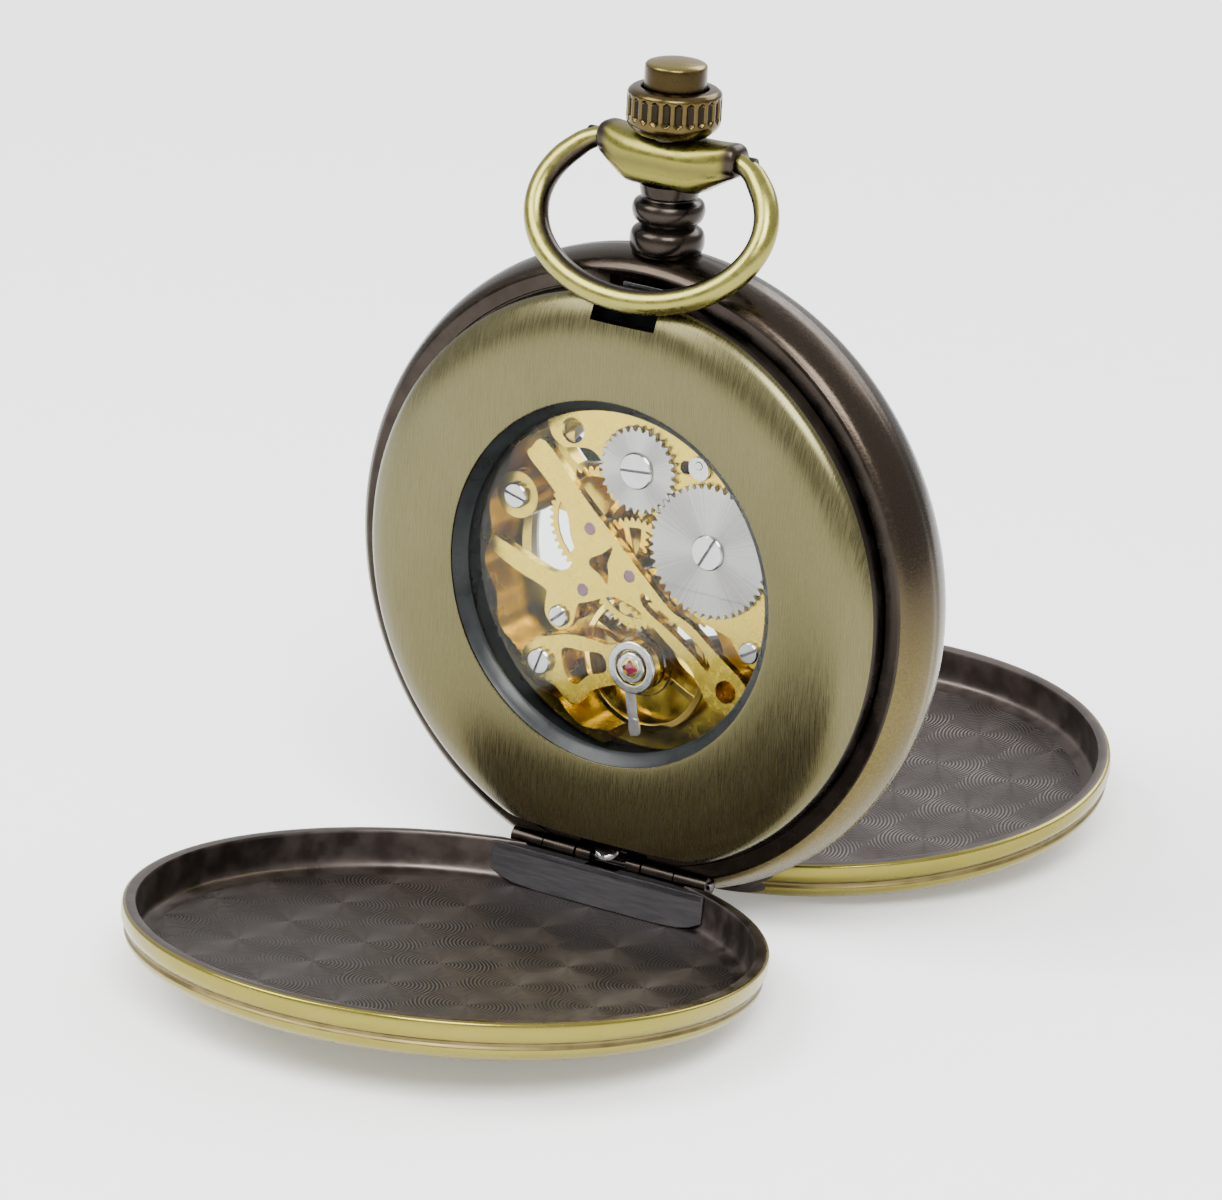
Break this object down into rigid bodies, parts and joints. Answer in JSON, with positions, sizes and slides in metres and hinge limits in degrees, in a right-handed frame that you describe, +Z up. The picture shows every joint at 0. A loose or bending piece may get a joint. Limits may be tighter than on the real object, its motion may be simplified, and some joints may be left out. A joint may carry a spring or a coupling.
{
  "type": "pocket watch",
  "caption": "Double-hunter mechanical pocket watch standing on its two open covers, with skeleton movement, crown, push button and bow.",
  "frame": {"origin": "centre of the footprint at the table under the open covers", "axes": "+Z up through the crown, -Y towards the movement side, +Y towards the dial side, +X to the right seen from the movement side"},
  "size_m": [0.0474, 0.094, 0.0623],
  "materials": {
    "antique_bronze": "brushed, aged",
    "dark_bronze": "dark polished patina",
    "black_plastic": "satin black",
    "crystal": "clear",
    "gilt": "fine brushed with bright bevels",
    "steel": "sunburst and polished",
    "ruby": "polished synthetic ruby",
    "dial_white": "enamel white",
    "blued_steel": "heat blued"
  },
  "bodies": {
    "case": {"mid_case": "dark_bronze", "back_bezel": "antique_bronze", "front_bezel": "antique_bronze", "back_gasket": "black_plastic", "front_gasket": "black_plastic", "back_crystal": "crystal", "front_crystal": "crystal", "movement_ring": "black_plastic", "pendant": "dark_bronze", "back_hinge_pin": "steel", "front_hinge_pin": "steel", "back_lift_spring": "steel", "front_lift_spring": "steel", "main_plate": "gilt", "train_bridge": "gilt", "barrel_bridge": "gilt", "balance_cock": "gilt", "pallet_bridge": "gilt", "crown_wheel_screw": "steel", "upper_screw": "steel", "middle_screw": "steel", "cock_screw": "steel", "bridge_screw": "steel", "click_spring": "steel", "hairspring": "steel", "shock_setting": "ruby", "dial_ring": "dial_white"},
    "back_lid": {"back_cover": "antique_bronze", "back_hinge_plate": "dark_bronze"},
    "front_lid": {"front_cover": "antique_bronze", "front_hinge_plate": "dark_bronze"},
    "bow_pins": {"bow_pin_left": "dark_bronze", "bow_pin_right": "dark_bronze"},
    "bow_loop": {"bow": "antique_bronze"},
    "winding": {"winding_pinion": "steel"},
    "crown_stem": {"crown": "antique_bronze", "stem": "steel"},
    "button": {"push_button": "antique_bronze"},
    "catch_back": {"back_catch": "steel"},
    "catch_front": {"front_catch": "steel"},
    "transmission": {"crown_wheel": "steel"},
    "ratchet": {"ratchet_wheel": "steel", "ratchet_screw": "steel", "barrel_arbor": "steel"},
    "click_lever": {"click": "steel"},
    "barrel": {"barrel_drum": "gilt", "mainspring": "steel"},
    "centre": {"centre_wheel": "gilt", "cannon_pinion": "steel", "minute_hand": "blued_steel"},
    "third": {"third_wheel": "gilt"},
    "fourth": {"fourth_wheel": "gilt", "second_hand": "blued_steel"},
    "escape": {"escape_wheel": "steel"},
    "lever": {"pallet_fork": "steel"},
    "balance": {"balance_wheel": "gilt"},
    "index": {"regulator": "steel"},
    "motion": {"minute_wheel": "gilt"},
    "hour": {"hour_wheel": "gilt", "hour_hand": "blued_steel"}
  },
  "joints": [
    {"name": "back_cover_hinge", "type": "hinge", "parent": "case", "child": "back_lid", "pos_m": [0, -0.00299, 0.0035], "axis": [-1, 0, 0], "range_deg": [0, 85.4], "stiffness_Nm_per_rad": 0.0015, "springref_deg": -57.3},
    {"name": "front_cover_hinge", "type": "hinge", "parent": "case", "child": "front_lid", "pos_m": [0, 0.00299, 0.0035], "axis": [1, 0, 0], "range_deg": [0, 85.4], "stiffness_Nm_per_rad": 0.0015, "springref_deg": -57.3},
    {"name": "bow_lift", "type": "hinge", "parent": "case", "child": "bow_pins", "pos_m": [0, 0, 0.05577], "axis": [-1, 0, 0], "range_deg": [0, 24.5]},
    {"name": "bow_swing", "type": "hinge", "parent": "bow_pins", "child": "bow_loop", "pos_m": [0, 0, 0.05577], "axis": [-1, 0, 0], "range_deg": [0, 252]},
    {"name": "crown_turn", "type": "hinge", "parent": "case", "child": "winding", "pos_m": [0, 0, 0.03533], "axis": [0, 0, 1], "continuous": true},
    {"name": "crown_pull", "type": "slide", "parent": "winding", "child": "crown_stem", "axis": [0, 0, 1], "range_m": [0, 0.001]},
    {"name": "button_press", "type": "slide", "parent": "crown_stem", "child": "button", "axis": [0, 0, -1], "range_m": [0, 0.0012], "stiffness_N_per_m": 300, "springref_m": -0.001},
    {"name": "back_catch_release", "type": "slide", "parent": "case", "child": "catch_back", "axis": [0, 0, -1], "range_m": [0, 0.0005]},
    {"name": "front_catch_release", "type": "slide", "parent": "case", "child": "catch_front", "axis": [0, 0, -1], "range_m": [0, 0.0005]},
    {"name": "crown_wheel_spin", "type": "hinge", "parent": "case", "child": "transmission", "pos_m": [0.0002, -0.00255, 0.03283], "axis": [0, -1, 0], "continuous": true},
    {"name": "ratchet_spin", "type": "hinge", "parent": "case", "child": "ratchet", "pos_m": [0.00645, -0.00255, 0.02808], "axis": [0, -1, 0], "continuous": true},
    {"name": "click_rock", "type": "hinge", "parent": "case", "child": "click_lever", "pos_m": [0.0053, -0.0026, 0.03423], "axis": [0, -1, 0], "range_deg": [0, 4], "stiffness_Nm_per_rad": 0.00001, "springref_deg": -28.65},
    {"name": "fourth_spin", "type": "hinge", "parent": "case", "child": "fourth", "pos_m": [-0.00385, -0.0006, 0.02308], "axis": [0, -1, 0], "continuous": true},
    {"name": "third_spin", "type": "hinge", "parent": "case", "child": "third", "pos_m": [-0.0035, -0.0014, 0.02773], "axis": [0, -1, 0], "continuous": true},
    {"name": "barrel_spin", "type": "hinge", "parent": "case", "child": "barrel", "pos_m": [0.00645, -0.0008, 0.02808], "axis": [0, -1, 0], "continuous": true},
    {"name": "centre_spin", "type": "hinge", "parent": "case", "child": "centre", "pos_m": [0, -0.001, 0.02493], "axis": [0, -1, 0], "continuous": true},
    {"name": "escape_spin", "type": "hinge", "parent": "case", "child": "escape", "pos_m": [-0.0029, -0.0003, 0.02103], "axis": [0, -1, 0], "continuous": true},
    {"name": "balance_swing", "type": "hinge", "parent": "case", "child": "balance", "pos_m": [0.00065, -0.001, 0.01823], "axis": [0, -1, 0], "range_deg": [-135, 135], "stiffness_Nm_per_rad": 0.000002},
    {"name": "lever_rock", "type": "hinge", "parent": "case", "child": "lever", "pos_m": [-0.001, -0.0003, 0.02113], "axis": [0, -1, 0], "range_deg": [-5.5, 5.5]},
    {"name": "regulator_turn", "type": "hinge", "parent": "case", "child": "index", "pos_m": [0.00065, -0.0028, 0.01823], "axis": [0, -1, 0], "range_deg": [-10, 10]},
    {"name": "minute_wheel_spin", "type": "hinge", "parent": "case", "child": "motion", "pos_m": [0.0026, 0.0015, 0.02307], "axis": [0, -1, 0], "continuous": true},
    {"name": "hour_spin", "type": "hinge", "parent": "case", "child": "hour", "pos_m": [0, 0.002, 0.02493], "axis": [0, -1, 0], "continuous": true}
  ],
  "couplings": [
    {"joint": "bow_lift", "follows": "back_cover_hinge", "ratio": 0.28571},
    {"joint": "back_catch_release", "follows": "button_press", "ratio": 0.4},
    {"joint": "front_catch_release", "follows": "button_press", "ratio": 0.4},
    {"joint": "crown_wheel_spin", "follows": "crown_turn", "ratio": -0.5},
    {"joint": "ratchet_spin", "follows": "crown_turn", "ratio": 0.31915},
    {"joint": "third_spin", "follows": "fourth_spin", "ratio": -0.13333},
    {"joint": "centre_spin", "follows": "fourth_spin", "ratio": 0.016667},
    {"joint": "barrel_spin", "follows": "fourth_spin", "ratio": -0.0033333},
    {"joint": "escape_spin", "follows": "fourth_spin", "ratio": -8},
    {"joint": "minute_wheel_spin", "follows": "fourth_spin", "ratio": -0.0055556},
    {"joint": "hour_spin", "follows": "fourth_spin", "ratio": 0.0013889},
    {"joint": "lever_rock", "follows": "balance_swing", "ratio": 0.04}
  ]
}
